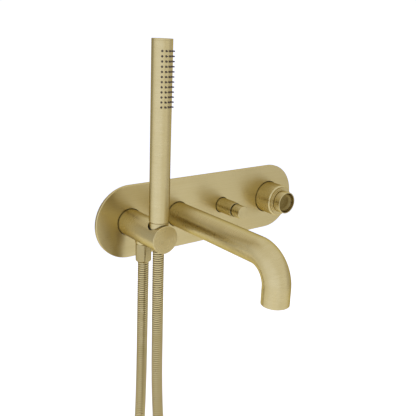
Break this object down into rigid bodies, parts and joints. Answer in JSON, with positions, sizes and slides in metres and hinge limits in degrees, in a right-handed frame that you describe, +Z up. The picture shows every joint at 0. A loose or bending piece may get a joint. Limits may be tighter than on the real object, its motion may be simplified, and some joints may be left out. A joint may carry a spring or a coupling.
{
  "type": "wall mounted bath faucet",
  "caption": "Wall mounted bath mixer on a long round-ended plate: cup handle, push-pull diverter, bent spout, and a holder with a stick hand shower on a metal hose.",
  "frame": {"origin": "middle of the cover plate's back face, on the finished wall", "axes": "+X along the plate towards the mixer, +Y into the wall, +Z up; everything in the room lies at negative Y"},
  "size_m": [0.35, 0.2719, 0.838],
  "materials": {
    "brushed_gold": "brushed brass with a satin pale gold coating",
    "hose_gold": "ribbed metal hose with a satin pale gold coating",
    "raw_brass": "machined and cast brass, uncoated",
    "black_rubber": "moulded rubber",
    "stainless_steel": "plain stainless steel",
    "cartridge_plastic": "moulded engineering plastic",
    "black_plastic": "moulded black plastic",
    "ceramic": "lapped white ceramic",
    "nozzle_silicone": "soft brown-grey silicone"
  },
  "bodies": {
    "wall_unit": {"cover_plate": "brushed_gold", "plate_gasket": "black_rubber", "plate_orings": "black_rubber", "sleeve_orings": "black_rubber", "mixer_body": "raw_brass", "diverter_body": "raw_brass", "spout_elbow": "raw_brass", "holder_elbow": "raw_brass", "mixed_pipe": "raw_brass", "spout_pipe": "raw_brass", "shower_pipe": "raw_brass", "fixing_lugs": "raw_brass", "mixer_sleeve": "brushed_gold", "mixer_trim_ring": "brushed_gold", "mixer_cartridge": "cartridge_plastic", "cartridge_nut": "raw_brass", "cartridge_seals": "black_rubber", "ceramic_disc_fixed": "ceramic", "stem_oring": "black_rubber", "diverter_sleeve": "brushed_gold", "diverter_bonnet": "raw_brass", "bonnet_orings": "black_rubber", "diverter_spring": "stainless_steel", "spout_tube": "brushed_gold", "spout_collar": "raw_brass", "spout_nipple": "raw_brass", "spout_oring": "black_rubber", "spout_grub_screw": "stainless_steel", "aerator_ring": "brushed_gold", "aerator_washer": "black_rubber", "aerator_insert": "cartridge_plastic", "holder_body": "brushed_gold", "holder_nipple": "raw_brass", "holder_oring": "black_rubber", "holder_grub_screw": "stainless_steel", "holder_liner": "black_plastic", "outlet_nipple": "raw_brass", "outlet_washer": "black_rubber", "outlet_hose_nut": "brushed_gold", "outlet_ferrule": "raw_brass", "hose": "hose_gold"},
    "mixer_handle": {"cartridge_stem": "raw_brass", "ceramic_disc_moving": "ceramic", "handle_cup": "brushed_gold", "handle_screw": "stainless_steel", "handle_cap": "brushed_gold"},
    "diverter_control": {"diverter_stem": "raw_brass", "diverter_seals": "black_rubber", "diverter_knob": "brushed_gold", "knob_grub_screw": "stainless_steel"},
    "hose_end": {"handset_ferrule": "raw_brass", "cone_washer": "black_rubber"},
    "handset": {"cone_nut": "brushed_gold", "handset_tail": "raw_brass", "handset_orings": "black_rubber", "handset_tube": "brushed_gold", "handset_end_cap": "brushed_gold", "handset_waterway": "black_plastic", "handset_nozzles": "nozzle_silicone"}
  },
  "joints": [
    {"name": "mixer_turn", "type": "hinge", "parent": "wall_unit", "child": "mixer_handle", "pos_m": [0.125, 0, 0], "axis": [0, -1, 0], "range_deg": [0, 110]},
    {"name": "diverter_pull", "type": "slide", "parent": "wall_unit", "child": "diverter_control", "axis": [0, -1, 0], "range_m": [0, 0.009], "stiffness_N_per_m": 200, "springref_m": -0.01, "deforming": ["diverter_spring"]},
    {"name": "handset_lift", "type": "slide", "parent": "wall_unit", "child": "hose_end", "axis": [0, 0, 1], "range_m": [0, 0.06]},
    {"name": "handset_turn", "type": "hinge", "parent": "hose_end", "child": "handset", "pos_m": [-0.125, -0.073, 0], "axis": [0, 0, 1], "continuous": true}
  ]
}
